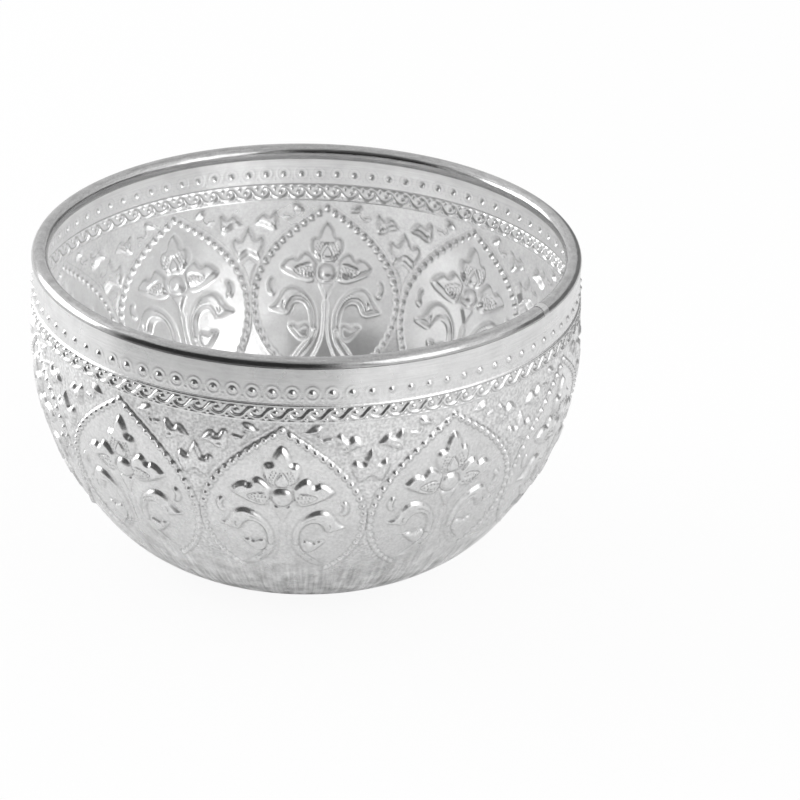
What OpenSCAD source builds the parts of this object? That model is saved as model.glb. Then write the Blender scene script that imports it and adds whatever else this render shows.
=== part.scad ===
// Pressed and embossed sheet-metal bowl with a wired bead round its mouth.
// The bowl stands on the XY plane, with the Z axis through its middle.
// Drops are measured down from the top of the rim.

/* [Bowl] */
// Width over the rim bead
rim_d = 80; // [72:1:90]
// Height from the table to the top of the rim bead
height = 47.5; // [44:0.5:60]
// Width of the flat face that the bowl stands on
base_d = 27; // [20:0.5:34]
// Outer radius of the turn from the base into the side
heel_r = 22; // [14:0.5:24]
// Height at which the belly has turned upright
belly_h = 34.3; // [31:0.1:36]
// Thickness of the sheet
sheet = 0.6; // [0.4:0.05:0.8]

/* [Rim] */
// Diameter of the rim bead
bead_d = 2.4; // [2.2:0.1:3]
// Thickness of the strip that is folded over the edge
strip = 0.36; // [0.3:0.02:0.42]
// How far the upright wall stands inside the bead's widest line
wall_inset = 0.1; // [0:0.05:0.3]
// Drop of the bead's outer edge below its widest line
edge_drop = 0.2; // [0.1:0.05:0.4]
// Width of the groove between that edge and the wall
groove_w = 0.12; // [0.05:0.01:0.2]
// Length of the soldered seam along the bead
seam_w = 1.3; // [0.4:0.1:3]
// Bearing of the seam, from the front towards the right
seam_bearing = 58; // [0:1:359]
// How far the solder stands proud of the bead
seam_proud = 0.06; // [0:0.01:0.15]
// Free space between the strip, the wire and the sheet's edge
rim_gap = 0.04; // [0.02:0.01:0.08]

/* [Band] */
// Drop of the band's upper line
upper_line_drop = 6.95; // [6.3:0.05:7.3]
// Drop of the band's lower line
lower_line_drop = 9.35; // [8.5:0.05:9.7]
// Radius of the rounded lines that edge the band
line_r = 0.3; // [0.2:0.05:0.4]

/* [Petals] */
// Number of petals round the bowl
petals = 10; // [9:1:12]
// Bearing of a petal's axis, from the front towards the right
petal_bearing = -4.6; // [-18:0.1:18]
// Height of the pressed ornament over the ground
relief = 0.4; // [0.2:0.05:0.5]
// Drop of a petal's tip
tip_drop = 11.1; // [10.5:0.05:12]
// Drop of a petal's widest line
wide_drop = 25.2; // [23:0.1:27]
// Drop at which a petal's border runs out
end_drop = 35.5; // [33:0.1:37]
// Width of a petal between the middle lines of its border
petal_w = 22.4; // [20:0.1:23]
// Slope of a petal's shoulders
shoulder = 36.7; // [30:0.1:45]
// Width of the border
border_w = 0.8; // [0.6:0.05:1]

/* [Hidden] */
$fn = 48;

bead_r = bead_d / 2;
bead_ring_r = rim_d / 2 - bead_r;
bead_z = height - bead_r;
wall_r = rim_d / 2 - wall_inset;
base_r = base_d / 2;

// The sheet's edge is set in behind the strip, beside the wire.
shoulder_z = bead_z - edge_drop - groove_w;
lip_top = bead_z - rim_gap;
cavity_r = bead_r - strip - rim_gap;
lip_r = bead_ring_r + sqrt(cavity_r * cavity_r - edge_drop * edge_drop);
lip_face = lip_r - sheet - rim_gap;
wire_r = (lip_face - bead_ring_r + cavity_r) / 2;
wire_ring_r = lip_face - wire_r;

// The belly's arc leaves the heel's arc without a corner and ends upright at belly_h.
heel_side = wall_r - base_r - heel_r;
heel_rise = belly_h - heel_r;
belly_r = heel_r + (heel_side * heel_side + heel_rise * heel_rise) / (2 * heel_side);
heel_turn = acos(heel_rise / (belly_r - heel_r));
belly_x = wall_r - belly_r;

seam_turn = 2 * asin(seam_w / 2 / bead_ring_r);
band_line_z = [for (drop = [upper_line_drop, lower_line_drop]) height - drop];

// The ornament is drawn for ten petals on a wall 79.8 wide, and grows or shrinks with the petals' pitch.
drawn_pitch = 39.9 * sin(18);
ornament = wall_r * sin(180 / petals) / drawn_pitch;

// The round side of a petal is one arc, which the straight shoulder enters just inside its edge.
side_centre = (petal_w / 2 - (wide_drop - tip_drop) * cos(shoulder)) / (1 - sin(shoulder));
side_r = petal_w / 2 - side_centre;
shoulder_bite = 0.2;

// Discs of the ornament, each as place across, drop and radius.
flower_boss = [0, 21.6, 1.5];
vine_arch = [4.7, 27.6, 3.7];
vine_hollow = [5.1, 29.1, 3.4];

// Pointed leaves of the ornament, each from end to end with its width.
flower_top = [[0, 13.1], [0, 19.8], 5];
flower_side = [[1.9, 21.2], [7.7, 20.6], 3.5];
gap_leaf = [[0, 13.8], [0, 20.2], 3.6];

// Part of a disc round centre that lies between two angles, both measured from straight down.
module slice(centre, radius, start, end) {
  reach = 2 * radius;
  translate(centre)
    intersection() {
      circle(radius);
      polygon([[0, 0], reach * [sin(start), -cos(start)], reach * [sin(end), -cos(end)]]);
    }
}

// Half section of all the space inside the plain face that lies inset from the outer ground.
module half_section(inset, top) {
  step_z = shoulder_z - inset / 2;
  intersection() {
    square([rim_d, top]);
    union() {
      translate([base_r, heel_r])
        circle(heel_r - inset);
      slice([belly_x, belly_h], belly_r - inset, heel_turn, 90);
      polygon([
        [0, inset], [base_r, inset], [wall_r - inset, belly_h], [wall_r - inset, step_z],
        [lip_r - inset, step_z], [lip_r - inset, top], [0, top]
      ]);
    }
  }
}

// Half section of the space inside that face with the band's lines on it.
module lined_section(inset, top) {
  half_section(inset, top);
  for (z = band_line_z)
    translate([wall_r - inset, z])
      circle(line_r);
}

module disc(spot) {
  translate([spot.x, -spot.y])
    circle(spot.z);
}

// Pointed leaf between two arcs.
module leaf(ends) {
  run = ends[1] - ends[0];
  middle = ends[0] + run / 2;
  half_w = ends[2] / 2;
  arc_r = (run * run / 4 + half_w * half_w) / (2 * half_w);
  translate([middle.x, -middle.y])
    rotate(-atan2(run.y, run.x))
      intersection_for (side = [-1, 1])
        translate([0, side * (arc_r - half_w)])
          circle(arc_r);
}

// A form and its mirror image across the petal's axis.
module pair() {
  children();
  mirror([1, 0])
    children();
}

// Area inside a petal's border, whose middle line is moved in by inset.
module petal_area(inset) {
  r = side_r - inset;
  entry = [side_centre, -wide_drop] + (r - shoulder_bite) * [sin(shoulder), cos(shoulder)];
  intersection_for (side = [-1, 1])
    translate([side * side_centre, -wide_drop])
      circle(r);
  polygon([[0, -tip_drop - inset / cos(shoulder)], entry, [-entry.x, entry.y]]);
}

module border() {
  intersection() {
    difference() {
      petal_area(-border_w / 2);
      petal_area(border_w / 2);
    }
    translate([-petal_w, -end_drop])
      square([2 * petal_w, end_drop]);
  }
}

// One petal's ornament on the plane before the petal's axis.
module petal_forms() {
  border();
  leaf(flower_top);
  disc(flower_boss);
  pair() {
    leaf(flower_side);
    difference() {
      disc(vine_arch);
      disc(vine_hollow);
    }
  }
}

// Pushes a drawing out from the bowl's axis and cuts it to a layer that stands on the wall.
module pressed() {
  intersection() {
    rotate(-90 - 180 / petals)
      rotate_extrude(angle = 360 / petals)
        difference() {
          half_section(-relief, shoulder_z);
          half_section(sheet / 2, height);
        }
    translate([0, 0, height])
      rotate([90, 0, 0])
        linear_extrude(rim_d)
          scale(ornament)
            children();
  }
}

module bowl_shell() {
  color("silver") {
    rotate_extrude()
      difference() {
        lined_section(0, lip_top);
        lined_section(sheet, height);
      }
    for (i = [0 : petals - 1])
      rotate(petal_bearing + i * 360 / petals) {
        pressed()
          petal_forms();
        rotate(180 / petals)
          pressed()
            leaf(gap_leaf);
      }
  }
}

// Section of the strip folded round the wire, outer skin raised by proud, and open where the sheet enters.
module strip_section(proud) {
  difference() {
    translate([bead_ring_r, bead_z])
      difference() {
        circle(bead_r + proud);
        circle(bead_r - strip);
      }
    translate([lip_face, bead_z - edge_drop - bead_d])
      square(bead_d);
  }
}

// Turns its children from the X axis to the bearing of the seam.
module at_seam() {
  rotate(seam_bearing - 90)
    children();
}

module rim_hoop() {
  color("gainsboro")
    at_seam()
      rotate(seam_turn / 2)
        rotate_extrude(angle = 360 - seam_turn)
          strip_section(0);
}

module rim_wire() {
  color("slategray")
    rotate_extrude()
      translate([wire_ring_r, bead_z])
        circle(wire_r);
}

module seam_solder() {
  color("whitesmoke")
    at_seam()
      rotate(-seam_turn / 2)
        rotate_extrude(angle = seam_turn)
          strip_section(seam_proud);
}

bowl_shell();
rim_hoop();
rim_wire();
seam_solder();
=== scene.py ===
"""Embossed sheet-metal bowl: its relief, its polished rim, its finishes and a white studio."""

import logging
import math
from dataclasses import dataclass
from enum import Enum
from typing import Any, Callable

import bmesh
import bpy
import numpy as np
from mathutils import Matrix, Quaternion, Vector


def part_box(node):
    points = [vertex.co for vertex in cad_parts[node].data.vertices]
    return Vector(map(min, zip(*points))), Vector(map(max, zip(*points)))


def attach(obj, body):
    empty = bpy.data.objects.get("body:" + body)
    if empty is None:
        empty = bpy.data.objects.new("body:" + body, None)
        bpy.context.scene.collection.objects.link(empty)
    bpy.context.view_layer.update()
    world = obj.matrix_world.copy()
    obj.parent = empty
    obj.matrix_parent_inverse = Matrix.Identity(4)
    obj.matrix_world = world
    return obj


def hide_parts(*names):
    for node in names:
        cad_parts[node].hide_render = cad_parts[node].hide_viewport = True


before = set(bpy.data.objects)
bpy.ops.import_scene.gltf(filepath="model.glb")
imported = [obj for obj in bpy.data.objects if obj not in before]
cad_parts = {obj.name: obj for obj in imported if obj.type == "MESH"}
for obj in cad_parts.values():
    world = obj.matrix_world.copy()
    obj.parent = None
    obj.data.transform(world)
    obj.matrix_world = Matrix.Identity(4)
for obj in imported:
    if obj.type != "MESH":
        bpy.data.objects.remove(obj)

LOG = logging.getLogger("bowl")
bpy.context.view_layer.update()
BODY = "root"
MM = 0.001
FULL_TURN = 360.0
TINY = 1e-6

Array = np.ndarray
Point = tuple[float, float]
Emboss = Callable[[Array, Array], Array]


class Skin(Enum):
    """Side of the sheet that a vertex belongs to."""

    OUTER = 1
    INNER = -1


@dataclass(frozen=True)
class BowlForm:
    """Plain form of the bowl under its relief, in millimetres.

    Depth is the length along the outer face towards the base, from a line just under the rim.
    """

    rim_r: float
    height: float
    start_drop: float = 2.1
    bead_d: float = 2.4
    base_r: float = 13.5
    heel_r: float = 22.0
    belly_h: float = 34.3
    sheet: float = 0.6
    wall_inset: float = 0.1
    edge_drop: float = 0.04
    groove_w: float = 0.12
    step: float = 0.02
    rim_gap: float = 0.04
    strip: float = 0.36

    @classmethod
    def from_frame(cls) -> "BowlForm":
        """Reads the rim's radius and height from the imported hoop.

        Returns:
            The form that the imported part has.
        """
        low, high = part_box("rim_hoop")
        return cls(rim_r=max(high.x, high.y, -low.x, -low.y) / MM, height=high.z / MM)

    @property
    def bead_r(self) -> float:
        """Radius of the bead's round section."""
        return self.bead_d / 2

    @property
    def bead_ring_r(self) -> float:
        """Radius of the ring that the bead's middle follows."""
        return self.rim_r - self.bead_r

    @property
    def bead_z(self) -> float:
        """Height of the bead's middle."""
        return self.height - self.bead_r

    @property
    def wall_r(self) -> float:
        """Outer radius of the upright wall."""
        return self.rim_r - self.wall_inset

    @property
    def lip_r(self) -> float:
        """Outer radius of the lip, which clears the strip in front of it."""
        room = self.bead_r - self.strip - self.rim_gap
        return self.bead_ring_r + math.sqrt(room * room - self.edge_drop * self.edge_drop)

    @property
    def lip_face(self) -> float:
        """Radius at which the strip ends behind the lip."""
        return self.lip_r - self.sheet - self.rim_gap

    @property
    def lip_depth(self) -> float:
        """Depth of the lip's top edge inside the bead."""
        return self.start_z - self.bead_z + self.rim_gap

    @property
    def shoulder_depth(self) -> float:
        """Depth at which the wall steps in behind the bead's outer edge."""
        return self.start_z - self.bead_z + self.edge_drop + self.groove_w

    @property
    def start_z(self) -> float:
        """Height of depth zero."""
        return self.height - self.start_drop

    @property
    def belly_r(self) -> float:
        """Radius of the belly that joins the heel to the upright wall without a corner."""
        side = self.wall_r - self.base_r - self.heel_r
        rise = self.belly_h - self.heel_r
        return self.heel_r + (side * side + rise * rise) / (2 * side)

    @property
    def heel_turn(self) -> float:
        """Angle from straight down at which the heel's arc meets the belly's, in radians."""
        return math.acos((self.belly_h - self.heel_r) / (self.belly_r - self.heel_r))

    @property
    def belly_depth(self) -> float:
        """Depth at which the upright wall starts to turn in."""
        return self.start_z - self.belly_h

    @property
    def heel_depth(self) -> float:
        """Depth at which the belly's arc hands over to the heel's."""
        return self.belly_depth + self.belly_r * (math.pi / 2 - self.heel_turn)

    @property
    def base_depth(self) -> float:
        """Depth at which the flat base starts."""
        return self.heel_depth + self.heel_r * self.heel_turn

    @property
    def middle_depth(self) -> float:
        """Depth of the middle of the base."""
        return self.base_depth + self.base_r

    def ground(self, depth: Array) -> tuple[Array, Array, Array, Array]:
        """Finds the outer face and its outward direction.

        Args:
            depth: Depths of the places.

        Returns:
            Radius, height, and the radial and upright parts of the outward normal.
        """
        belly = np.clip((depth - self.belly_depth) / self.belly_r, 0, math.pi / 2 - self.heel_turn)
        heel = np.clip((depth - self.heel_depth) / self.heel_r, 0, self.heel_turn)
        turn = math.pi / 2 - belly - heel
        flat = np.clip(depth - self.base_depth, 0, None)
        in_heel = depth > self.heel_depth
        belly_x = self.wall_r - self.belly_r
        radius = np.where(
            in_heel,
            self.base_r + self.heel_r * np.sin(turn) - flat,
            belly_x + self.belly_r * np.sin(turn),
        )
        height = np.where(
            in_heel,
            self.heel_r - self.heel_r * np.cos(turn),
            self.belly_h - self.belly_r * np.cos(turn),
        )
        upright = np.clip(self.belly_depth - depth, 0, None)
        set_in = (self.wall_r - self.lip_r) * np.clip((self.shoulder_depth - depth) / self.step, 0, 1)
        return radius - set_in, height + upright, np.sin(turn), -np.cos(turn)


@dataclass(frozen=True)
class Curve:
    """Smooth curve through a few points of the unrolled wall, in millimetres across and down."""

    points: tuple[Point, ...]
    closed: bool = True
    steps: int = 7

    def trace(self) -> Array:
        """Follows the curve.

        Returns:
            Points along the curve, the first repeated at the end of a closed one.
        """
        knots = np.array(self.points)
        if self.closed:
            ends = np.concatenate([knots[-1:], knots, knots[:2]])
        else:
            ends = np.concatenate([2 * knots[:1] - knots[1:2], knots, 2 * knots[-1:] - knots[-2:-1]])
        share = np.linspace(0, 1, self.steps, endpoint=False)[None, :, None]
        before, start, end, after = (ends[i:len(ends) - 3 + i, None, :] for i in range(4))
        bend = 2 * before - 5 * start + 4 * end - after
        twist = 3 * (start - end) + after - before
        run = start + 0.5 * share * (end - before + share * (bend + share * twist))
        return np.concatenate([run.reshape(-1, 2), ends[-2:-1]])

    def mirrored(self, axis: float = 0.0) -> "Curve":
        """Joins a half outline to its mirror image.

        Args:
            axis: Place across of the mirror line, on which the half outline starts and ends.

        Returns:
            The whole closed outline.
        """
        other = tuple((2 * axis - x, y) for x, y in reversed(self.points) if abs(x - axis) > TINY)
        return Curve(self.points + other, True, self.steps)


def bezier(*handles: Point, steps: int = 40) -> Array:
    """Follows a cubic Bezier curve.

    Args:
        *handles: Its four control points.
        steps: Number of spans.

    Returns:
        Points along the curve.
    """
    t = np.linspace(0, 1, steps + 1)[:, None]
    a, b, c, d = (np.array(handle) for handle in handles)
    return (1 - t) ** 3 * a + 3 * t * (1 - t) ** 2 * b + 3 * t * t * (1 - t) * c + t ** 3 * d


def along(trace: Array, pitch: float) -> Array:
    """Spaces points evenly on a curve.

    Args:
        trace: Points of the curve.
        pitch: Wanted distance between neighbours.

    Returns:
        Evenly spaced points, both ends among them.
    """
    run = np.concatenate([[0], np.cumsum(np.hypot(*np.diff(trace, axis=0).T))])
    stops = np.linspace(0, run[-1], round(run[-1] / pitch) + 1)
    return np.stack([np.interp(stops, run, trace[:, i]) for i in (0, 1)], axis=1)


class Relief:
    """Height of the embossing over a set of places on the unrolled wall.

    CREST is the power that rounds a ridge, and GROOVE_FADE the share of a groove over which each end fades.
    """

    CREST = 1.4
    GROOVE_FADE = 0.12

    def __init__(self, across: Array, down: Array) -> None:
        """Starts flat.

        Args:
            across: Places across, in millimetres.
            down: Depths, in millimetres.
        """
        self.across = across
        self.down = down
        self.height = np.zeros_like(across)

    def _near(self, trace: Array, reach: float) -> Array:
        """Finds the places within reach of a curve's box.

        Args:
            trace: Points of the curve.
            reach: How far outside the box a place may lie.

        Returns:
            Indices of the places.
        """
        low = trace.min(axis=0) - reach
        high = trace.max(axis=0) + reach
        inside_across = (self.across > low[0]) & (self.across < high[0])
        return np.flatnonzero(inside_across & (self.down > low[1]) & (self.down < high[1]))

    def _distance(self, trace: Array, places: Array) -> tuple[Array, Array]:
        """Measures how far places lie from a curve.

        Args:
            trace: Points of the curve.
            places: Indices of the places.

        Returns:
            The distances, and how far along the curve the nearest point lies, from 0 to 1.
        """
        spot = np.stack([self.across[places], self.down[places]], axis=1)
        best = np.full(len(places), np.inf)
        share = np.zeros(len(places))
        spans = len(trace) - 1
        for index in range(spans):
            start = trace[index]
            step = trace[index + 1] - start
            t = np.clip(((spot - start) @ step) / max(step @ step, TINY * TINY), 0, 1)
            gap = np.hypot(*(spot - start - t[:, None] * step).T)
            closer = gap < best
            best[closer] = gap[closer]
            share[closer] = (index + t[closer]) / spans
        return best, share

    def _inside(self, trace: Array, places: Array) -> Array:
        """Tells which places a closed curve goes round.

        Args:
            trace: Points of the curve, the first repeated at the end.
            places: Indices of the places.

        Returns:
            True for each place inside.
        """
        x, y = self.across[places], self.down[places]
        odd = np.zeros(len(places), bool)
        for (x0, y0), (x1, y1) in zip(trace[:-1], trace[1:]):
            if y0 != y1:
                odd ^= ((y0 > y) != (y1 > y)) & (x < x0 + (y - y0) * (x1 - x0) / (y1 - y0))
        return odd

    def _raise(self, places: Array, lift: Array) -> None:
        """Lets the higher of the old and new relief stand."""
        self.height[places] = np.maximum(self.height[places], lift)

    def pad(self, outline: Curve, height: float, edge: float) -> None:
        """Raises a flat-topped form with a sloping edge.

        Args:
            outline: Foot of its slope.
            height: Height of its top.
            edge: Width of the slope.
        """
        trace = outline.trace()
        places = self._near(trace, 0)
        places = places[self._inside(trace, places)]
        gap, _ = self._distance(trace, places)
        self._raise(places, height * (0.5 - 0.5 * np.cos(np.pi * np.clip(gap / edge, 0, 1))))

    def ridge(self, trace: Array, half_width: float, height: float, taper: float = 0.0) -> None:
        """Raises a rounded line.

        Args:
            trace: Points of its middle line.
            half_width: Half its width.
            height: Height of its crest.
            taper: Share of its length over which each end fades out.
        """
        places = self._near(trace, half_width)
        gap, share = self._distance(trace, places)
        fade = np.clip(np.minimum(share, 1 - share) / taper, 0, 1) if taper else 1.0
        self._raise(places, height * fade * np.cos(np.pi / 2 * np.clip(gap / half_width, 0, 1)) ** self.CREST)

    def groove(self, trace: Array, half_width: float, depth: float) -> None:
        """Sinks a rounded line into what is raised.

        Args:
            trace: Points of its middle line.
            half_width: Half its width.
            depth: Depth of its bottom.
        """
        places = self._near(trace, half_width)
        gap, share = self._distance(trace, places)
        fade = np.clip(np.minimum(share, 1 - share) / self.GROOVE_FADE, 0, 1)
        self.height[places] -= depth * fade * np.cos(np.pi / 2 * np.clip(gap / half_width, 0, 1)) ** 2

    def dots(self, trace: Array, pitch: float, radius: float, depth: float) -> None:
        """Sinks a row of small pits along a curve.

        Args:
            trace: Points of the curve.
            pitch: Distance between pits.
            radius: Radius of a pit.
            depth: Depth of its bottom.
        """
        for x, y in along(trace, pitch):
            gap = np.hypot(self.across - x, self.down - y)
            places = np.flatnonzero(gap < radius)
            self.height[places] -= depth * np.cos(np.pi / 2 * gap[places] / radius) ** 2

    def boss(self, centre: Point, radius: float, height: float, fullness: float = 1.0) -> None:
        """Raises a round boss.

        Args:
            centre: Its middle.
            radius: Radius of its foot.
            height: Height of its top.
            fullness: How flat its top is, from 1 for a dome upwards.
        """
        gap = np.hypot(self.across - centre[0], self.down - centre[1])
        places = np.flatnonzero(gap < radius)
        self._raise(places, height * (1 - (gap[places] / radius) ** (2 * fullness)))


@dataclass(frozen=True)
class PetalOrnament:
    """One lotus petal and half of each gap beside it, drawn on the unrolled wall in millimetres.

    Places across are arc lengths at the rim's radius, from the petal's axis to the gap's.
    """

    half_pitch: float
    half_turn: float
    top: float = 7.5
    bottom: float = 36.6
    bead_pitch: float = 1.5
    relief: float = 0.54
    slope: float = 0.85
    boss: Point = (0.0, 19.45)
    boss_ring_r: float = 1.72
    stipple_edge: float = 0.6
    stipple_end: float = 34.6
    stipple_fade: float = 3.0

    def border(self) -> Array:
        """Draws the middle line of the beaded border.

        Returns:
            Points from the tip down one side.
        """
        widest = (12.05, 24.2)
        upper = bezier((0.0, 8.65), (4.5, 11.8), (12.05, 16.6), widest)
        lower = bezier(widest, (12.05, 29.2), (9.5, 32.9), (5.8, 35.2))
        return np.concatenate([upper, lower[1:]])

    def fold(self, bearing: Array) -> Array:
        """Folds bearings onto one side of a petal.

        Args:
            bearing: Angles from a petal's axis, in degrees.

        Returns:
            Places across, from the petal's axis to the gap's.
        """
        pitch = 2 * self.half_pitch
        across = bearing * self.half_pitch / self.half_turn
        return np.abs((across + self.half_pitch) % pitch - self.half_pitch)

    def emboss(self, bearing: Array, down: Array) -> Array:
        """Works out the relief.

        Args:
            bearing: Angles from a petal's axis, in degrees.
            down: Depths, in millimetres.

        Returns:
            Heights above the ground, in millimetres.
        """
        relief = Relief(self.fold(bearing), down)
        self._border(relief)
        self._flower(relief)
        self._stem_and_leaves(relief)
        self._gap_leaves(relief)
        return relief.height

    def stipple(self, bearing: Array, down: Array) -> Array:
        """Tells where the ground is stippled, which is between the petals.

        Args:
            bearing: Angles from a petal's axis, in degrees.
            down: Depths, in millimetres.

        Returns:
            1 where it is stippled, and 0 where it is plain.
        """
        border = self.border()
        edge = np.interp(down, border[:, 1], border[:, 0], left=-1, right=0)
        outside = np.clip((self.fold(bearing) - edge) / self.stipple_edge, 0, 1)
        return outside * np.clip((self.stipple_end - down) / self.stipple_fade, 0, 1)

    def _border(self, relief: Relief) -> None:
        """Draws the border: beads on a low band, with a thin line outside it.

        Args:
            relief: Relief to draw in.
        """
        border = self.border()
        tangent = np.gradient(border, axis=0)
        tangent /= np.hypot(*tangent.T)[:, None]
        outward = np.stack([tangent[:, 1], -tangent[:, 0]], axis=1)
        relief.ridge(border + 0.1 * outward, half_width=0.5, height=0.2, taper=0.04)
        line = border + 0.98 * outward
        line_end = 19.0
        relief.ridge(line[line[:, 1] < line_end], half_width=0.2, height=0.035, taper=0.05)
        fade_start = 16.0
        fade_length = 9.0
        for place in along(border, self.bead_pitch)[:-1]:
            fade = 1 - 0.2 * np.clip((place[1] - fade_start) / fade_length, 0, 1)
            relief.boss(tuple(place), radius=0.54, height=0.5 * fade)

    def _flower(self, relief: Relief) -> None:
        """Draws the flower: three lobed leaves round a boss.

        Args:
            relief: Relief to draw in.
        """
        top = Curve((
            (0.0, 10.95), (0.75, 11.5), (1.35, 12.6), (1.6, 13.5), (2.15, 13.55), (2.75, 14.2),
            (2.85, 15.5), (2.4, 16.7), (1.6, 17.6), (0.0, 17.9),
        )).mirrored()
        side = Curve((
            (1.3, 18.3), (1.4, 17.7), (2.0, 16.9), (2.8, 16.25), (3.6, 16.0), (4.3, 16.45), (4.7, 17.1),
            (5.3, 16.8), (6.3, 17.05), (7.2, 17.8), (7.65, 18.5), (7.0, 19.4), (5.7, 20.15), (4.4, 20.75),
            (2.9, 21.1), (1.9, 20.7), (1.5, 19.6),
        ))
        relief.pad(top, self.relief, self.slope)
        relief.pad(side, self.relief, self.slope)
        top_vein = Curve(((0.75, 17.5), (0.95, 16.5), (0.0, 14.8)), False).trace()
        side_vein = Curve(((2.1, 18.6), (3.4, 18.5), (5.0, 19.2), (3.8, 20.1), (2.3, 20.4)), False).trace()
        relief.groove(top_vein, half_width=0.28, depth=0.32)
        relief.groove(side_vein, half_width=0.25, depth=0.24)
        for row in (
            Curve(((1.3, 17.2), (1.35, 16.3), (0.8, 15.0)), False),
            Curve(((1.75, 16.9), (1.75, 16.0), (1.3, 14.9)), False),
            Curve(((2.3, 19.1), (3.4, 19.0), (4.4, 19.3)), False),
            Curve(((2.2, 20.0), (3.3, 19.8), (4.3, 19.5)), False),
        ):
            relief.dots(row.trace(), pitch=0.5, radius=0.28, depth=0.26)
        relief.boss(self.boss, radius=1.6, height=0.62, fullness=1.6)
        turn = np.radians(np.linspace(-10, 190, 30))
        ring = self.boss + self.boss_ring_r * np.stack([np.cos(turn), np.sin(turn)], axis=1)
        relief.groove(ring, half_width=0.22, depth=0.16)

    def _stem_and_leaves(self, relief: Relief) -> None:
        """Draws the calyx and stem on the axis, with the scrolling leaves beside them.

        Args:
            relief: Relief to draw in.
        """
        calyx = Curve(((0.0, 20.8), (1.4, 21.2), (1.0, 22.2), (0.5, 23.3), (0.0, 24.4))).mirrored()
        stem = Curve((
            (0.0, 23.6), (0.7, 24.5), (0.6, 26.5), (0.7, 28.5), (1.0, 30.2), (1.8, 32.0), (2.6, 33.4),
            (1.4, 34.0), (0.0, 33.7),
        )).mirrored()
        vine = Curve((
            (1.25, 28.8), (1.2, 27.4), (1.35, 25.9), (1.9, 24.4), (2.8, 23.1), (4.0, 22.0), (5.4, 21.5),
            (6.7, 21.75), (7.6, 22.6), (8.1, 23.5), (8.8, 24.3), (9.65, 24.9), (9.4, 25.4), (8.3, 25.8),
            (7.1, 26.15), (6.2, 25.9), (5.75, 25.1), (5.2, 24.4), (4.4, 24.3), (3.5, 24.8), (2.9, 25.9),
            (2.7, 27.2), (2.6, 28.6),
        ))
        scroll = Curve((
            (2.4, 28.6), (2.6, 27.8), (3.3, 27.4), (4.2, 27.7), (4.7, 27.9), (5.2, 27.5), (6.4, 27.7),
            (6.3, 28.4), (5.5, 29.4), (4.5, 30.3), (3.5, 30.4), (2.7, 29.8),
        ))
        leaf = Curve((
            (1.25, 28.6), (1.45, 30.0), (2.3, 31.5), (4.0, 33.2), (5.6, 33.9), (6.5, 33.5), (5.2, 32.3),
            (3.9, 30.9), (3.0, 29.7), (2.5, 28.7),
        ))
        relief.pad(calyx, height=0.2, edge=0.5)
        relief.pad(stem, height=0.16, edge=0.6)
        relief.pad(vine, self.relief, self.slope)
        relief.pad(scroll, height=0.44, edge=0.7)
        relief.pad(leaf, height=0.2, edge=0.6)
        bud = Curve(((8.45, 20.3), (9.05, 20.7), (9.3, 21.5), (9.1, 22.3), (8.5, 22.8)), False)
        relief.ridge(bud.trace(), half_width=0.5, height=0.42, taper=0.25)
        rib = Curve(((1.95, 28.2), (1.9, 26.8), (2.25, 25.3), (3.1, 23.9), (4.2, 23.1), (5.3, 22.9)), False)
        relief.groove(rib.trace(), half_width=0.22, depth=0.14)
        eye = Curve(((6.9, 24.1), (7.1, 24.7), (6.95, 25.2)), False)
        relief.groove(eye.trace(), half_width=0.2, depth=0.22)
        for vein in (
            Curve(((1.75, 29.2), (2.1, 30.3), (3.3, 31.8), (4.8, 33.1)), False),
            Curve(((2.3, 29.1), (2.9, 30.3), (4.0, 31.5), (5.4, 32.9)), False),
        ):
            relief.ridge(vein.trace(), half_width=0.2, height=0.3, taper=0.2)

    def _gap_leaves(self, relief: Relief) -> None:
        """Draws the leaves in the gap between two petals.

        Args:
            relief: Relief to draw in.
        """
        hook = Curve((
            (2.9, 8.85), (3.5, 8.6), (4.1, 7.95), (4.9, 7.65), (5.6, 7.8), (5.75, 8.5), (5.3, 9.2),
            (4.4, 9.4), (3.5, 9.3),
        ))
        stalk = Curve(((5.4, 9.2), (5.15, 9.7), (5.6, 10.3), (6.8, 10.6)), False)
        foot = Curve(((6.0, 10.15), (6.9, 10.0)), False)
        wing = Curve((
            (7.6, 10.4), (7.55, 9.6), (8.0, 9.05), (8.6, 9.2), (9.25, 9.95), (9.75, 9.5), (10.4, 9.5),
            (11.0, 9.95), (11.45, 10.55), (11.8, 11.2), (11.2, 11.5), (10.2, 11.7), (9.5, 12.2), (8.7, 12.5),
            (7.9, 12.3), (7.6, 11.4),
        ))
        axis = self.half_pitch
        heart = Curve(tuple((axis - x, y) for x, y in (
            (0.0, 11.6), (0.55, 12.2), (1.05, 13.2), (1.3, 13.75), (2.0, 13.25), (2.65, 13.6), (2.95, 14.4),
            (2.75, 15.5), (2.2, 16.5), (1.9, 17.3), (0.8, 16.8), (0.0, 16.3),
        ))).mirrored(axis)
        tail = Curve(tuple((axis - x, y) for x, y in (
            (0.0, 16.6), (0.9, 17.2), (1.5, 17.9), (1.0, 18.9), (0.6, 20.1), (0.35, 21.3), (0.0, 22.1),
        ))).mirrored(axis)
        relief.pad(hook, height=0.5, edge=self.slope)
        relief.ridge(stalk.trace(), half_width=0.2, height=0.16, taper=0.1)
        relief.ridge(foot.trace(), half_width=0.26, height=0.18)
        relief.pad(wing, height=0.48, edge=0.8)
        relief.pad(heart, height=0.48, edge=0.8)
        relief.pad(tail, height=0.13, edge=0.5)
        curl = Curve(((9.4, 11.9), (8.8, 12.05), (8.4, 11.5), (8.9, 11.1), (9.2, 11.5)), False)
        relief.groove(curl.trace(), half_width=0.2, depth=0.12)


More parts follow.
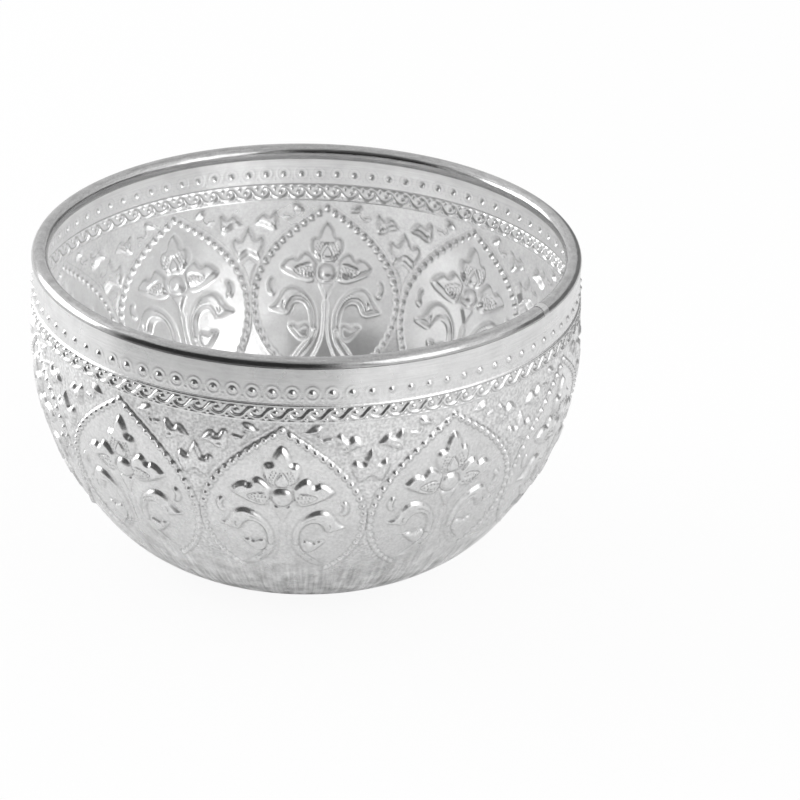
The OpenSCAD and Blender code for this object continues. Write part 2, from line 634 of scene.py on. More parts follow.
@dataclass(frozen=True)
class BossBand:
    """Row of round bosses under the rim, in millimetres."""

    cell: float
    top: float
    bottom: float = 4.55
    boss_depth: float = 2.95
    ring_r: float = 1.0
    ring_edge: float = 0.19
    ring_height: float = 0.033
    ornament_top: float = 1.6
    row: float = 0.165
    inner_row: float = 0.22

    def emboss(self, across: Array, down: Array) -> Array:
        """Works out the relief.

        Args:
            across: Places across from the middle of a boss.
            down: Depths.

        Returns:
            Heights above the ground.
        """
        relief = Relief(np.abs((across + self.cell / 2) % self.cell - self.cell / 2), down)
        gap = np.hypot(relief.across, down - self.boss_depth)
        relief.height = self.ring_height * np.clip(1 - np.abs(gap - self.ring_r) / self.ring_edge, 0, 1)
        relief.boss((0.0, self.boss_depth), radius=0.47, height=0.3)
        relief.boss((self.cell / 2, self.boss_depth + 0.85), radius=0.17, height=0.05)
        return relief.height


@dataclass(frozen=True)
class ScrollBand:
    """Running scroll between two lines, in millimetres."""

    cell: float
    top: float = 4.55
    bottom: float = 7.5
    ornament_top: float = 4.55
    row: float = 0.116
    inner_row: float = 0.165
    upper_line: float = 4.85
    lower_line: float = 7.25

    def emboss(self, across: Array, down: Array) -> Array:
        """Works out the relief.

        Args:
            across: Places across from the middle of a boss above.
            down: Depths.

        Returns:
            Heights above the ground.
        """
        strand = Curve((
            (0.3, 5.4), (-0.25, 5.57), (-0.42, 6.12), (0.05, 6.7), (0.85, 6.87), (1.5, 6.62), (2.0, 6.02),
            (2.5, 5.44), (3.0, 5.3),
        ), False).trace()
        relief = Relief(across % self.cell, down)
        for shift in (-self.cell, 0.0, self.cell):
            relief.ridge(strand + (shift, 0.0), half_width=0.27, height=0.25)
            relief.boss((0.45 + shift, 6.04), radius=0.42, height=0.22)
            relief.boss((1.95 + shift, 6.9), radius=0.24, height=0.16)
            relief.boss((1.45 + shift, 5.35), radius=0.28, height=0.24)
        for line, half_width, height in ((self.upper_line, 0.28, 0.22), (self.lower_line, 0.18, 0.08)):
            gap = np.clip(np.abs(down - line) / half_width, 0, 1)
            relief.height = np.maximum(relief.height, height * np.cos(np.pi / 2 * gap) ** relief.CREST)
        return relief.height


def read_points(mesh: bpy.types.Mesh) -> tuple[Array, Array, Array]:
    """Reads the vertices of a swept stretch of sheet.

    Args:
        mesh: Mesh with depth and skin on its vertices.

    Returns:
        Their places in rows of three, their depths and their skins.
    """
    count = len(mesh.vertices)
    place = np.empty(count * 3)
    depth = np.empty(count, np.float32)
    skin = np.empty(count, np.float32)
    mesh.vertices.foreach_get("co", place)
    mesh.attributes["depth"].data.foreach_get("value", depth)
    mesh.attributes["skin"].data.foreach_get("value", skin)
    return place.reshape(-1, 3), depth.astype(float), skin


def write_values(mesh: bpy.types.Mesh, name: str, values: Array) -> None:
    """Writes a value on each vertex, for the finish to read."""
    mesh.attributes.new(name, "FLOAT", "POINT").data.foreach_set("value", values.astype(np.float32))


class Sheet:
    """Turns stretches of the bowl's section into closed pieces of sheet with relief on both faces.

    AROUND holds the steps, in degrees and millimetres, to the places that soften a relief, and DEEP is how
    far below them the bottom of a full hollow lies, where the finish's painted shade in the hollows is
    darkest.
    """

    SHARP = math.radians(70)
    ON_AXIS = 1e-9
    MERGE = 1e-7
    AROUND = ((0.35, 0), (-0.35, 0), (0, 0.25), (0, -0.25))
    DEEP = 0.08

    def __init__(self, form: BowlForm) -> None:
        """Keeps the plain form.

        Args:
            form: Form of the bowl.
        """
        self.form = form

    def section(self, mesh: bmesh.types.BMesh, outer: Array, inner: Array, bearing: float) -> None:
        """Draws the section of a stretch of sheet, closed but for a stretch on the bowl's axis.

        Args:
            mesh: Mesh to draw in.
            outer: Depths of the points on the outer face, from the top.
            inner: Depths of the points on the inner face, from the top.
            bearing: Bearing of the section's plane from the front, in degrees.
        """
        depth_layer = mesh.verts.layers.float.new("depth")
        skin_layer = mesh.verts.layers.float.new("skin")
        turn = math.radians(bearing)
        ring = []
        for skin, depths in ((Skin.OUTER, outer), (Skin.INNER, inner[::-1])):
            radius, height, out_r, out_z = self.form.ground(depths)
            inset = 0.0 if skin is Skin.OUTER else self.form.sheet
            radius = np.maximum(radius - inset * out_r, 0)
            height = height - inset * out_z
            for depth, r, z in zip(depths, radius, height):
                vert = mesh.verts.new(Vector((r * math.sin(turn), -r * math.cos(turn), z)) * MM)
                vert[depth_layer] = depth
                vert[skin_layer] = skin.value
                ring.append(vert)
        for start, end in zip(ring, ring[1:] + ring[:1]):
            if (start.co + end.co).xy.length > self.ON_AXIS:
                mesh.edges.new((start, end))

    def sweep(self, mesh: bmesh.types.BMesh, angle: float, steps: int, sectors: int = 1) -> None:
        """Turns a drawn section about the bowl's axis and closes what stays open.

        Args:
            mesh: Mesh that holds the section.
            angle: Angle to turn through, in degrees.
            steps: Number of steps.
            sectors: Number of equal sectors, of which the first is spun and the others are copies.
        """
        sector = math.radians(angle / sectors)
        about = {"cent": (0, 0, 0), "axis": (0, 0, 1)}
        bmesh.ops.spin(
            mesh, geom=mesh.verts[:] + mesh.edges[:], **about, angle=sector, steps=steps // sectors,
            use_merge=angle == FULL_TURN and sectors == 1,
        )
        if sectors > 1:
            bmesh.ops.spin(
                mesh, geom=mesh.verts[:] + mesh.edges[:] + mesh.faces[:], **about,
                angle=sector * (sectors - 1), steps=sectors - 1, use_duplicate=True,
            )
        bmesh.ops.remove_doubles(mesh, verts=mesh.verts[:], dist=self.MERGE)
        open_edges = [edge for edge in mesh.edges if edge.is_boundary]
        caps = bmesh.ops.holes_fill(mesh, edges=open_edges, sides=0)["faces"]
        bmesh.ops.triangulate(mesh, faces=caps)
        bmesh.ops.recalc_face_normals(mesh, faces=mesh.faces[:])
        for face in mesh.faces:
            face.smooth = True
        for edge in mesh.edges:
            edge.smooth = edge.is_manifold and edge.calc_face_angle(0) < self.SHARP

    def press(self, mesh: bpy.types.Mesh, emboss: Emboss, inner_share: float, softness: float) -> None:
        """Pushes the sheet out by its relief, on both faces.

        Args:
            mesh: Swept mesh with depth and skin on its vertices.
            emboss: Relief at bearings and depths.
            inner_share: Share of the relief that shows on the inner face.
            softness: How much of it is taken from round about, which softens it.
        """
        place, depth, skin = read_points(mesh)
        turn = np.arctan2(place[:, 0], -place[:, 1])
        bearing = np.degrees(turn)
        lift = emboss(bearing, depth)
        around = sum(emboss(bearing + a, depth + b) for a, b in self.AROUND) / len(self.AROUND)
        _, _, out_r, out_z = self.form.ground(depth)
        soft = lift + softness * (around - lift)
        push = MM * np.where(skin > 0, lift, inner_share * soft)
        place += push[:, None] * np.stack([out_r * np.sin(turn), -out_r * np.cos(turn), out_z], axis=1)
        mesh.vertices.foreach_set("co", place.ravel())
        # Painted shade: crease is how far a place lies below its surroundings, and the finish darkens the
        # hollows by it.
        write_values(mesh, "crease", np.clip((around - lift) * skin / self.DEEP, -1, 1))
        mesh.update()


@dataclass
class Shell:
    """The embossed sheet, in stretches that follow its ornament."""

    form: BowlForm
    petals: int = 10
    petal_bearing: float = -4.6
    bosses: int = 90
    petal_columns: int = 156
    petal_sectors: int = 6
    band_columns: int = 20
    base_columns: int = 360
    base_sectors: int = 20
    row: float = 0.165
    inner_row: float = 0.26
    plain_row: float = 0.4
    base_row: float = 0.6
    inner_share: float = 1.4
    petal_softness: float = 0.5
    band_softness: float = 0.2
    clear_depth: float = 0.8

    def __post_init__(self) -> None:
        """Lays the ornament out round the rim."""
        self.sheet = Sheet(self.form)
        self.rim_length = 2 * math.pi * self.form.rim_r
        self.ornament = PetalOrnament(self.rim_length / self.petals / 2, FULL_TURN / self.petals / 2)
        cell = self.rim_length / self.bosses
        self.boss_band = BossBand(cell, self.form.lip_depth)
        self.scroll_band = ScrollBand(cell)

    def build(self) -> list[bpy.types.Object]:
        """Makes every stretch and dresses it.

        Returns:
            The finished pieces.
        """
        pieces = [
            self._band("boss_band", self.boss_band),
            self._band("scroll_band", self.scroll_band),
            *self._petal_panels(),
            self._base(),
        ]
        finish = SatinSheet().build()
        for piece in pieces:
            dress(piece, finish, "bowl_shell")
        return pieces

    def _rows(self, top: float, bottom: float, row: float) -> Array:
        """Spaces depths evenly from top to bottom."""
        return np.linspace(top, bottom, max(2, round((bottom - top) / row) + 1))

    def _band(self, name: str, band: "BossBand | ScrollBand") -> bpy.types.Object:
        """Makes one ring of the band under the rim.

        Args:
            name: Name of the piece.
            band: Its ornament.

        Returns:
            The piece.
        """
        mesh = bmesh.new()
        plain = np.arange(max(band.top, self.form.shoulder_depth), band.ornament_top, self.plain_row)
        if band.top < self.form.shoulder_depth:
            plain = np.concatenate([[band.top, self.form.shoulder_depth - self.form.step], plain])
        outer = np.concatenate([plain, self._rows(band.ornament_top, band.bottom, band.row)])
        inner = np.concatenate([plain, self._rows(band.ornament_top, band.bottom, band.inner_row)])
        self.sheet.section(mesh, outer, inner, self.petal_bearing)
        self.sheet.sweep(mesh, FULL_TURN, self.band_columns * self.bosses, self.bosses)
        piece = make_piece(name, mesh)
        scale = self.rim_length / FULL_TURN
        first = self.petal_bearing + FULL_TURN / self.bosses / 2

        def emboss(bearing: Array, down: Array) -> Array:
            """Relief of the band, which leaves the lip clear."""
            return band.emboss((bearing - first) * scale, down) * (down > self.clear_depth)

        self.sheet.press(piece.data, emboss, self.inner_share, self.band_softness)
        return piece

    def _petal_panels(self) -> list[bpy.types.Object]:
        """Makes one petal with half of each gap beside it, and turns copies of it round the bowl.

        Returns:
            The panels.
        """
        pitch = FULL_TURN / self.petals
        mesh = bmesh.new()
        outer = self._rows(self.ornament.top, self.ornament.bottom, self.row)
        inner = self._rows(self.ornament.top, self.ornament.bottom, self.inner_row)
        self.sheet.section(mesh, outer, inner, self.petal_bearing - pitch / 2)
        self.sheet.sweep(mesh, pitch, self.petal_columns, self.petal_sectors)
        first = make_piece("petal_panel_01", mesh)

        def emboss(bearing: Array, down: Array) -> Array:
            """Relief of a petal at bearings from the front."""
            return self.ornament.emboss(bearing - self.petal_bearing, down)

        self.sheet.press(first.data, emboss, self.inner_share, self.petal_softness)
        self._mark_stipple(first.data)
        panels = [first]
        for index in range(1, self.petals):
            data = first.data.copy()
            data.transform(Matrix.Rotation(math.radians(pitch * index), 4, "Z"))
            panel = bpy.data.objects.new(f"petal_panel_{index + 1:02d}", data)
            bpy.context.scene.collection.objects.link(panel)
            panels.append(panel)
        return panels

    def _mark_stipple(self, mesh: bpy.types.Mesh) -> None:
        """Writes where the ground is stippled on a panel's vertices.

        Args:
            mesh: Mesh of the panel.
        """
        place, depth, _ = read_points(mesh)
        bearing = np.degrees(np.arctan2(place[:, 0], -place[:, 1])) - self.petal_bearing
        write_values(mesh, "stipple", self.ornament.stipple(bearing, depth))

    def _base(self) -> bpy.types.Object:
        """Makes the plain heel and base.

        Returns:
            The piece.
        """
        mesh = bmesh.new()
        rows = self._rows(self.ornament.bottom, self.form.middle_depth, self.base_row)
        self.sheet.section(mesh, rows, rows, 0.0)
        self.sheet.sweep(mesh, FULL_TURN, self.base_columns, self.base_sectors)
        return make_piece("base_dish", mesh)


@dataclass
class Rim:
    """The bead: a strip folded over the sheet's edge and a wire, open below, with one soldered seam."""

    form: BowlForm
    seam_bearing: float = 58.0
    seam_w: float = 1.3
    seam_proud: float = 0.05
    columns: int = 480
    seam_columns: int = 12
    sector_columns: int = 24
    arc_points: int = 36

    @property
    def seam_turn(self) -> float:
        """Angle that the seam takes up, in degrees."""
        return 2 * math.degrees(math.asin(self.seam_w / 2 / self.form.bead_ring_r))

    def build(self) -> list[bpy.types.Object]:
        """Makes the hoop and its solder, and dresses them and the wire.

        Returns:
            The hoop, the solder and the wire.
        """
        turn = self.seam_turn
        bearing = self.seam_bearing
        hoop = self._sweep("rim_bead", bearing + turn / 2, FULL_TURN - turn, self.columns, 0.0)
        solder = self._sweep("seam_fillet", bearing - turn / 2, turn, self.seam_columns, self.seam_proud)
        dress(hoop, PolishedMetal("polished_rim", 0.44, 0.16).build(), "rim_hoop")
        dress(solder, PolishedMetal("wiped_solder", 0.66, 0.3).build(), "seam_solder")
        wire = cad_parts["rim_wire"]
        wire.data.materials.clear()
        wire.data.materials.append(PolishedMetal("drawn_wire", 0.55, 0.35).build())
        return [hoop, solder, wire]

    def _sweep(self, name: str, start: float, angle: float, steps: int, proud: float) -> bpy.types.Object:
        """Sweeps the strip's section along the rim.

        Args:
            name: Name of the piece.
            start: Bearing of its first end, in degrees.
            angle: Angle that it covers, in degrees.
            steps: Number of steps.
            proud: How far its outside stands above the strip's, in millimetres.

        Returns:
            The piece.
        """
        form = self.form
        mesh = bmesh.new()
        turn = math.radians(start)
        across = Vector((math.sin(turn), -math.cos(turn), 0.0))
        upright = Vector((0, 0, 1))
        middle = across * form.bead_ring_r + upright * form.bead_z
        ring = []
        for radius, order in ((form.bead_r + proud, 1), (form.bead_r - form.strip, -1)):
            outer_end = math.acos(form.edge_drop / radius)
            inner_end = 2 * math.pi + math.asin((form.lip_face - form.bead_ring_r) / radius)
            for lean in np.linspace(outer_end, inner_end, self.arc_points)[::order]:
                spot = middle + radius * (math.sin(lean) * across - math.cos(lean) * upright)
                ring.append(mesh.verts.new(spot * MM))
        for first, second in zip(ring, ring[1:] + ring[:1]):
            mesh.edges.new((first, second))
        Sheet(form).sweep(mesh, angle, steps, max(1, steps // self.sector_columns))
        return make_piece(name, mesh)


def make_piece(name: str, mesh: bmesh.types.BMesh) -> bpy.types.Object:
    """Turns a finished mesh into an object at the origin.

    Args:
        name: Name of the object.
        mesh: Its mesh, which is freed.

    Returns:
        The object.
    """
    data = bpy.data.meshes.new(name)
    mesh.to_mesh(data)
    mesh.free()
    piece = bpy.data.objects.new(name, data)
    bpy.context.scene.collection.objects.link(piece)
    return piece


class Wire:
    """A shader socket with arithmetic."""

    def __init__(self, bench: "Bench", socket: bpy.types.NodeSocket) -> None:
        """Holds a socket and the bench that it is on."""
        self.bench = bench
        self.socket = socket

    def _math(self, operation: str, first: Any, second: Any) -> "Wire":
        """Adds a Math node."""
        return self.bench.node("ShaderNodeMath", {"operation": operation}, {0: first, 1: second})

    def __add__(self, other: Any) -> "Wire":
        """Sum."""
        return self._math("ADD", self, other)

    def __radd__(self, other: Any) -> "Wire":
        """Sum with a number first."""
        return self._math("ADD", other, self)

    def __sub__(self, other: Any) -> "Wire":
        """Difference."""
        return self._math("SUBTRACT", self, other)

    def __rsub__(self, other: Any) -> "Wire":
        """Difference from a number."""
        return self._math("SUBTRACT", other, self)

    def __mul__(self, other: Any) -> "Wire":
        """Product."""
        return self._math("MULTIPLY", self, other)

    def __rmul__(self, other: Any) -> "Wire":
        """Product with a number first."""
        return self._math("MULTIPLY", other, self)


class Bench:
    """Lays out the nodes of one material or world."""

    def __init__(self, tree: bpy.types.NodeTree) -> None:
        """Clears the tree."""
        self.tree = tree
        self.tree.nodes.clear()

    def node(self, kind: str, settings: dict[str, Any], inputs: dict[Any, Any], output: Any = 0) -> Wire:
        """Adds a node.

        Args:
            kind: The node's type.
            settings: Its properties, set first; a ramp's stops are given as "stops".
            inputs: Values or wires for its sockets, by name or index.
            output: Name or index of the wanted output.

        Returns:
            The wanted output.
        """
        made = self.tree.nodes.new(kind)
        for name, value in settings.items():
            if name == "stops":
                ramp = made.color_ramp.elements
                while len(ramp) < len(value):
                    ramp.new(1.0)
                for stop, (place, level) in zip(ramp, value):
                    stop.position = place
                    stop.color = (level, level, level, 1.0)
            else:
                setattr(made, name, value)
        for name, value in inputs.items():
            if isinstance(value, Wire):
                self.tree.links.new(value.socket, made.inputs[name])
            else:
                made.inputs[name].default_value = value
        return Wire(self, made.outputs[output])

    def stretched(self, place: Wire, turn: float, rise: float) -> Wire:
        """Place for a noise that is drawn out round the bowl's axis.

        Args:
            place: Place on the object.
            turn: Length that a turn of one radian counts for.
            rise: How much a height counts.

        Returns:
            The place to feed to the noise.
        """
        across = self.node("ShaderNodeVectorMath", {"operation": "MULTIPLY"}, {0: place, 1: (1.0, 1.0, 0.0)})
        bearing = self.node("ShaderNodeVectorMath", {"operation": "NORMALIZE"}, {0: across})
        height = self.node("ShaderNodeVectorMath", {"operation": "MULTIPLY"}, {0: place, 1: (0.0, 0.0, rise)})
        return self.node("ShaderNodeVectorMath", {"operation": "MULTIPLY_ADD"}, {
            0: bearing, 1: (turn, turn, 0.0), 2: height,
        })

    def noise(self, place: Wire, scale: float, detail: float) -> Wire:
        """Noise over a place."""
        return self.node("ShaderNodeTexNoise", {}, {"Vector": place, "Scale": scale, "Detail": detail})

    def ease(self, value: Wire, span: Point, levels: Point = (0.0, 1.0), kind: str = "LINEAR") -> Wire:
        """Turns a value into a level that changes along a span and stays the same beyond it.

        Args:
            value: The value.
            span: Values at which the first and the second level are reached.
            levels: The two levels.
            kind: How the level changes between them.

        Returns:
            The level.
        """
        return self.node("ShaderNodeMapRange", {"interpolation_type": kind}, {
            "Value": value, "From Min": span[0], "From Max": span[1],
            "To Min": levels[0], "To Max": levels[1],
        })

    def mix(self, share: Any, first: Any, second: Any, blend: str = "MIX") -> Wire:
        """Mixes two colours."""
        settings = {"data_type": "RGBA", "blend_type": blend}
        return self.node("ShaderNodeMix", settings, {0: share, 6: first, 7: second}, 2)

    def glow(self, strength: float) -> Wire:
        """White light of a strength."""
        return self.node("ShaderNodeEmission", {}, {"Color": grey(1.0), "Strength": strength})

    def finish(self, surface: Wire, kind: str = "ShaderNodeOutputMaterial") -> None:
        """Feeds a shader to the tree's output."""
        self.tree.links.new(surface.socket, self.tree.nodes.new(kind).inputs["Surface"])


def grey(level: float) -> tuple[float, float, float, float]:
    """Grey colour of a level."""
    return level, level, level, 1.0


def start_material(name: str) -> tuple[bpy.types.Material, Bench]:
    """Makes an empty material.

    Args:
        name: Its name.

    Returns:
        The material and the bench for its nodes.
    """
    material = bpy.data.materials.new(name)
    material.use_nodes = True
    return material, Bench(material.node_tree)


@dataclass(frozen=True)
class SatinSheet:
    """Aluminium of the embossed shell, buffed outside, paler inside, and worn round its heel.

    Spans are heights in metres, apart from base_span, which holds distances from the bowl's axis. The wear
    fields say how much each noise changes the tone. Hollows are darkened as painted shade, the paler inner
    tone is painted light that brightens the inside, and foot_shade is painted shade that darkens the outside
    towards its foot.
    """

    name: str = "buffed_aluminium"
    tone: float = 0.76
    # Painted shade: the tone that the deepest hollows are darkened towards.
    hollow_shade_tone: float = 0.5
    roughness: float = 0.27
    metallic: float = 0.94
    # Painted light: the inside's tone is raised above the outside's to brighten it.
    inner_lit_tone: float = 0.97
    inner_roughness: float = 0.2
    inner_metallic: float = 0.62
    base_span: Point = (0.01, 0.0145)
    heel_span: Point = (0.015, 0.005)
    foot_span: Point = (0.0032, 0.0)
    collar_span: Point = (0.0408, 0.0425)
    grain_wear: float = 1.1
    blotch_wear: float = 0.25
    heel_blotch_wear: float = 1.7
    heel_streak_wear: float = 1.8
    collar_wear: float = 0.3
    # Painted shade: how much the outside darkens towards its foot.
    foot_shade: float = 0.5

    def build(self) -> bpy.types.Material:
        """Makes the material.

        Returns:
            The material.
        """
        material, bench = start_material(self.name)
        place = bench.node("ShaderNodeTexCoord", {}, {}, "Object")
        crease, stipple, skin = (
            bench.node("ShaderNodeAttribute", {"attribute_name": name}, {}, "Fac")
            for name in ("crease", "stipple", "skin")
        )
        inside = 0.5 - 0.5 * skin
        z = bench.node("ShaderNodeSeparateXYZ", {}, {0: place}, "Z")
        cloud = bench.noise(place, scale=120.0, detail=4.0)
        blotch = bench.noise(place, scale=420.0, detail=3.0)
        grain = bench.noise(place, scale=2300.0, detail=2.0)
        streak = bench.noise(bench.stretched(place, 0.03, 0.08), scale=1800.0, detail=2.0)
        brushed = bench.noise(bench.stretched(place, 0.0016, 1.0), scale=4500.0, detail=2.0)
        flat = bench.node("ShaderNodeVectorMath", {"operation": "MULTIPLY"}, {0: place, 1: (1.0, 1.0, 0.0)})
        radius = bench.node("ShaderNodeVectorMath", {"operation": "LENGTH"}, {0: flat}, "Value")
        side = (1.0 - inside) * bench.ease(radius, self.base_span)
        heel = side * bench.ease(z, self.heel_span)
        foot = side * bench.ease(z, self.foot_span)
        collar = bench.ease(z, self.collar_span)
        frosted = (0.45 + 0.55 * stipple) * (1.0 - 0.65 * inside) * (1.0 - 0.8 * collar)
        # Real grain, blotches, heel streaks and collar brushing, less painted shade that darkens the outside
        # towards its foot.
        wear = (1.0 + self.grain_wear * frosted * (grain - 0.5)
                + (self.blotch_wear + self.heel_blotch_wear * heel) * (blotch - 0.5)
                + self.heel_streak_wear * heel * (streak - 0.5)
                + self.collar_wear * collar * (brushed - 0.5) - self.foot_shade * foot)
        # Painted light: the inside's paler tone brightens it, standing in for the brighter light there.
        ground = bench.mix(inside, grey(self.tone), grey(self.inner_lit_tone))
        # Painted shade: hollows are darkened by how deep they lie below their surroundings, a little less
        # inside.
        hollow = bench.node("ShaderNodeMath", {"operation": "MAXIMUM"}, {0: crease, 1: 0.0})
        tone = bench.mix(hollow * (1.0 - 0.2 * inside), ground, grey(self.hollow_shade_tone))
        roughness = (self.roughness + (self.inner_roughness - self.roughness) * inside
                     + 0.1 * (cloud - 0.5) + 0.06 * stipple)
        bump = bench.node("ShaderNodeBump", {}, {
            "Strength": 0.5, "Distance": 0.0001, "Height": grain * frosted,
        })
        surface = bench.node("ShaderNodeBsdfPrincipled", {}, {
            "Base Color": bench.mix(1.0, tone, wear, "MULTIPLY"), "Roughness": roughness, "Normal": bump,
            "Metallic": self.metallic + (self.inner_metallic - self.metallic) * inside,
        })
        bench.finish(surface)
        return material


@dataclass(frozen=True)
class PolishedMetal:
    """Plain polished metal of the rim, its solder and its wire, with fine marks round the bowl."""

    name: str
    tone: float
    roughness: float

    def build(self) -> bpy.types.Material:
        """Makes the material.

        Returns:
            The material.
        """
        material, bench = start_material(self.name)
        place = bench.node("ShaderNodeTexCoord", {}, {}, "Object")
        cloud = bench.noise(place, scale=300.0, detail=3.0)
        grain = bench.noise(place, scale=3500.0, detail=2.0)
        brushed = bench.noise(bench.stretched(place, 0.004, 1.0), scale=5000.0, detail=2.0)
        wear = 1.0 + 0.6 * (brushed - 0.5) + 0.3 * (grain - 0.5)
        bump = bench.node("ShaderNodeBump", {}, {
            "Strength": 0.35, "Distance": 0.00005, "Height": 0.7 * brushed + 0.3 * grain,
        })
        surface = bench.node("ShaderNodeBsdfPrincipled", {}, {
            "Base Color": bench.mix(1.0, grey(self.tone), wear, "MULTIPLY"), "Metallic": 1.0, "Normal": bump,
            "Roughness": self.roughness + 0.06 * (cloud - 0.5),
        })
        bench.finish(surface)
        return material


@dataclass(frozen=True)
class Card:
    """Curved dark card, with the bearings of its ends from the front towards the right, in degrees."""

    name: str
    bearings: Point
    radius: float
    top: float
    tone: float


@dataclass(frozen=True)
class SoftBox:
    """Square lamp that faces the bowl, with its power in watts."""

    name: str
    spot: tuple[float, float, float]
    size: float
    power: float


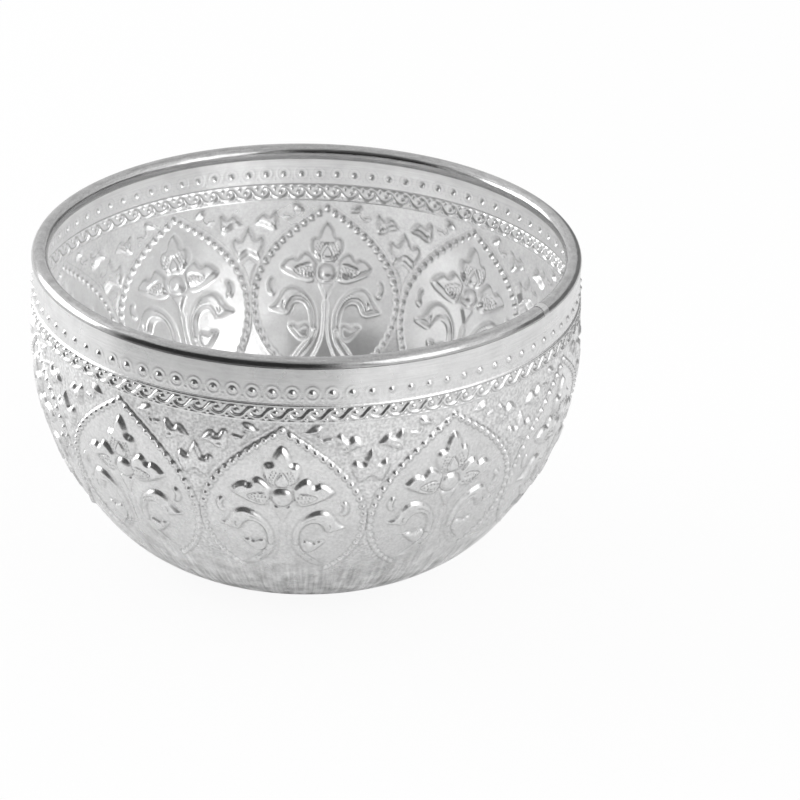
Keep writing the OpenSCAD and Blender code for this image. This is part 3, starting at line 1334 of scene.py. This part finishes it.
@dataclass
class Studio:
    """White table, a light tent with dark cards for the metal to reflect, two soft boxes and the camera.

    Lengths are in millimetres and angles in degrees. The tent's stops run from its open side to its back.
    """

    form: BowlForm
    distance: float = 600.0
    elevation: float = 25.54
    lens: float = 182.44
    sensor: float = 36.0
    look_right: float = 1.335
    look_down: float = 0.103
    roll: float = 0.576
    floor_size: float = 6000.0
    floor_drop: float = 0.02
    floor_tone: float = 0.9
    floor_seen: float = 0.93
    floor_mirrored: float = 0.1
    cards: tuple[Card, ...] = (
        Card("front_card", (-78.0, 18.0), radius=130.0, top=125.0, tone=0.05),
        Card("right_card", (76.0, 168.0), radius=190.0, top=95.0, tone=0.28),
    )
    card_points: int = 25
    card_middle: float = 0.7
    card_foot: float = 0.3
    card_foot_fade: float = 0.45
    open_bearing: float = -24.0
    tent: tuple[Point, ...] = (
        (0.0, 0.08), (0.15, 0.12), (0.29, 0.82), (0.45, 1.0), (0.6, 1.0), (0.8, 0.75), (1.0, 0.6),
    )
    tent_strength: float = 1.35
    roof: float = 0.65
    roof_span: Point = (0.6, 0.97)
    boxes: tuple[SoftBox, ...] = (
        SoftBox("left_box", (-420.0, 160.0, 80.0), size=360.0, power=1.4),
        SoftBox("right_box", (285.0, -300.0, 190.0), size=280.0, power=0.35),
    )

    def build(self) -> None:
        """Sets the whole stage."""
        self._camera()
        self._floor()
        self._world()
        for card in self.cards:
            self._card(card)
        self._lamps()

    def _camera(self) -> None:
        """Aims the camera past the bowl, as the picture is framed."""
        data = bpy.data.cameras.new("camera")
        data.lens = self.lens
        data.sensor_width = self.sensor
        data.clip_start = 0.01
        camera = bpy.data.objects.new("camera", data)
        bpy.context.scene.collection.objects.link(camera)
        raised = math.radians(self.elevation)
        target = Vector((0, 0, self.form.height / 2)) * MM
        back = Vector((0, -math.cos(raised), math.sin(raised)))
        camera.location = target + back * self.distance * MM
        aim = (-back).to_track_quat("-Z", "Y")
        camera.rotation_mode = "QUATERNION"
        camera.rotation_quaternion = (
            aim @ Quaternion((0, 1, 0), -math.radians(self.look_right))
            @ Quaternion((1, 0, 0), -math.radians(self.look_down))
            @ Quaternion((0, 0, 1), math.radians(self.roll))
        )
        bpy.context.scene.camera = camera

    def _floor(self) -> None:
        """White table that keeps the bowl's shadow."""
        mesh = bmesh.new()
        bmesh.ops.create_circle(mesh, cap_ends=True, segments=96, radius=self.floor_size / 2 * MM)
        bmesh.ops.translate(mesh, verts=mesh.verts[:], vec=(0, 0, -self.floor_drop * MM))
        floor = make_piece("floor", mesh)
        material, bench = start_material("white_table")
        seen = (self.floor_seen * bench.node("ShaderNodeLightPath", {}, {}, "Is Camera Ray")
                + self.floor_mirrored * bench.node("ShaderNodeLightPath", {}, {}, "Is Glossy Ray"))
        matt = bench.node("ShaderNodeBsdfDiffuse", {}, {"Color": grey(self.floor_tone)})
        bench.finish(bench.node("ShaderNodeMixShader", {}, {0: seen, 1: matt, 2: bench.glow(1.0)}))
        floor.data.materials.append(material)

    def _world(self) -> None:
        """Tent with bright sides and a dim roof, open at the front."""
        world = bpy.data.worlds.new("tent")
        bpy.context.scene.world = world
        world.use_nodes = True
        bench = Bench(world.node_tree)
        direction = bench.node("ShaderNodeTexCoord", {}, {}, "Generated")
        x, y, z = (bench.node("ShaderNodeSeparateXYZ", {}, {0: direction}, axis) for axis in "XYZ")
        turn = math.radians(self.open_bearing)
        away = 0.5 - 0.5 * math.sin(turn) * x + 0.5 * math.cos(turn) * y
        sides = bench.node("ShaderNodeValToRGB", {"stops": self.tent}, {0: away})
        levels = (self.tent_strength, self.tent_strength * self.roof)
        dome = bench.mix(1.0, sides, bench.ease(z, self.roof_span, levels, "SMOOTHSTEP"), "MULTIPLY")
        seen = bench.node("ShaderNodeLightPath", {}, {}, "Is Camera Ray")
        colour = bench.mix(seen, dome, grey(1.0))
        shade = bench.node("ShaderNodeBackground", {}, {"Color": colour, "Strength": 1.0})
        bench.finish(shade, "ShaderNodeOutputWorld")

    def _card(self, plan: Card) -> None:
        """Makes a card with soft ends and a soft foot, which only reflections show.

        Args:
            plan: Where the card stands and how dark it is.
        """
        mesh = bmesh.new()
        for bearing in np.linspace(*plan.bearings, self.card_points):
            turn = math.radians(bearing)
            mesh.verts.new(Vector((math.sin(turn), -math.cos(turn), 0.0)) * plan.radius * MM)
        for start, end in zip(mesh.verts[:-1], mesh.verts[1:]):
            mesh.edges.new((start, end))
        raised = bmesh.ops.extrude_edge_only(mesh, edges=mesh.edges[:])
        edge = [item for item in raised["geom"] if isinstance(item, bmesh.types.BMVert)]
        bmesh.ops.translate(mesh, verts=edge, vec=(0, 0, plan.top * MM))
        card = make_piece(plan.name, mesh)
        material, bench = start_material(plan.name)
        middle = math.radians(sum(plan.bearings) / 2)
        half = math.radians(plan.bearings[1] - plan.bearings[0]) / 2
        reach = plan.radius * MM
        place = bench.node("ShaderNodeTexCoord", {}, {}, "Object")
        x, y, z = (bench.node("ShaderNodeSeparateXYZ", {}, {0: place}, axis) for axis in "XYZ")
        ahead = math.sin(middle) / reach * x - math.cos(middle) / reach * y
        end_span = (math.cos(self.card_middle * half), math.cos(half))
        ends = bench.ease(ahead, end_span, kind="SMOOTHSTEP")
        foot = bench.ease(z, (self.card_foot * plan.top * MM, 0.0), (0.0, self.card_foot_fade), "SMOOTHSTEP")
        fade = bench.node("ShaderNodeMath", {"operation": "MAXIMUM"}, {0: ends, 1: foot})
        shaders = {0: fade, 1: bench.glow(plan.tone), 2: bench.glow(1.0)}
        bench.finish(bench.node("ShaderNodeMixShader", {}, shaders))
        card.data.materials.append(material)
        card.visible_camera = False
        card.visible_diffuse = False
        card.visible_shadow = False

    def _lamps(self) -> None:
        """Soft boxes on the left and right."""
        for box in self.boxes:
            data = bpy.data.lights.new(box.name, "AREA")
            data.size = box.size * MM
            data.energy = box.power
            lamp = bpy.data.objects.new(box.name, data)
            bpy.context.scene.collection.objects.link(lamp)
            lamp.location = Vector(box.spot) * MM
            lamp.rotation_euler = (-Vector(box.spot)).to_track_quat("-Z", "Y").to_euler()
            lamp.visible_camera = False


def dress(piece: bpy.types.Object, material: bpy.types.Material, node: str) -> None:
    """Gives a piece its finish and its place in the part.

    Args:
        piece: The piece.
        material: Its material.
        node: CAD node that it stands for.
    """
    piece.data.materials.clear()
    piece.data.materials.append(material)
    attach(piece, BODY)
    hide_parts(node)


def main() -> None:
    """Builds the bowl and its studio."""
    logging.basicConfig(level=logging.INFO)
    bpy.context.scene.view_settings.view_transform = "Standard"
    form = BowlForm.from_frame()
    for assembly in (Shell(form), Rim(form)):
        for piece in assembly.build():
            LOG.info("%s: %d faces", piece.name, len(piece.data.polygons))
    Studio(form).build()


if __name__ == "__main__":
    main()
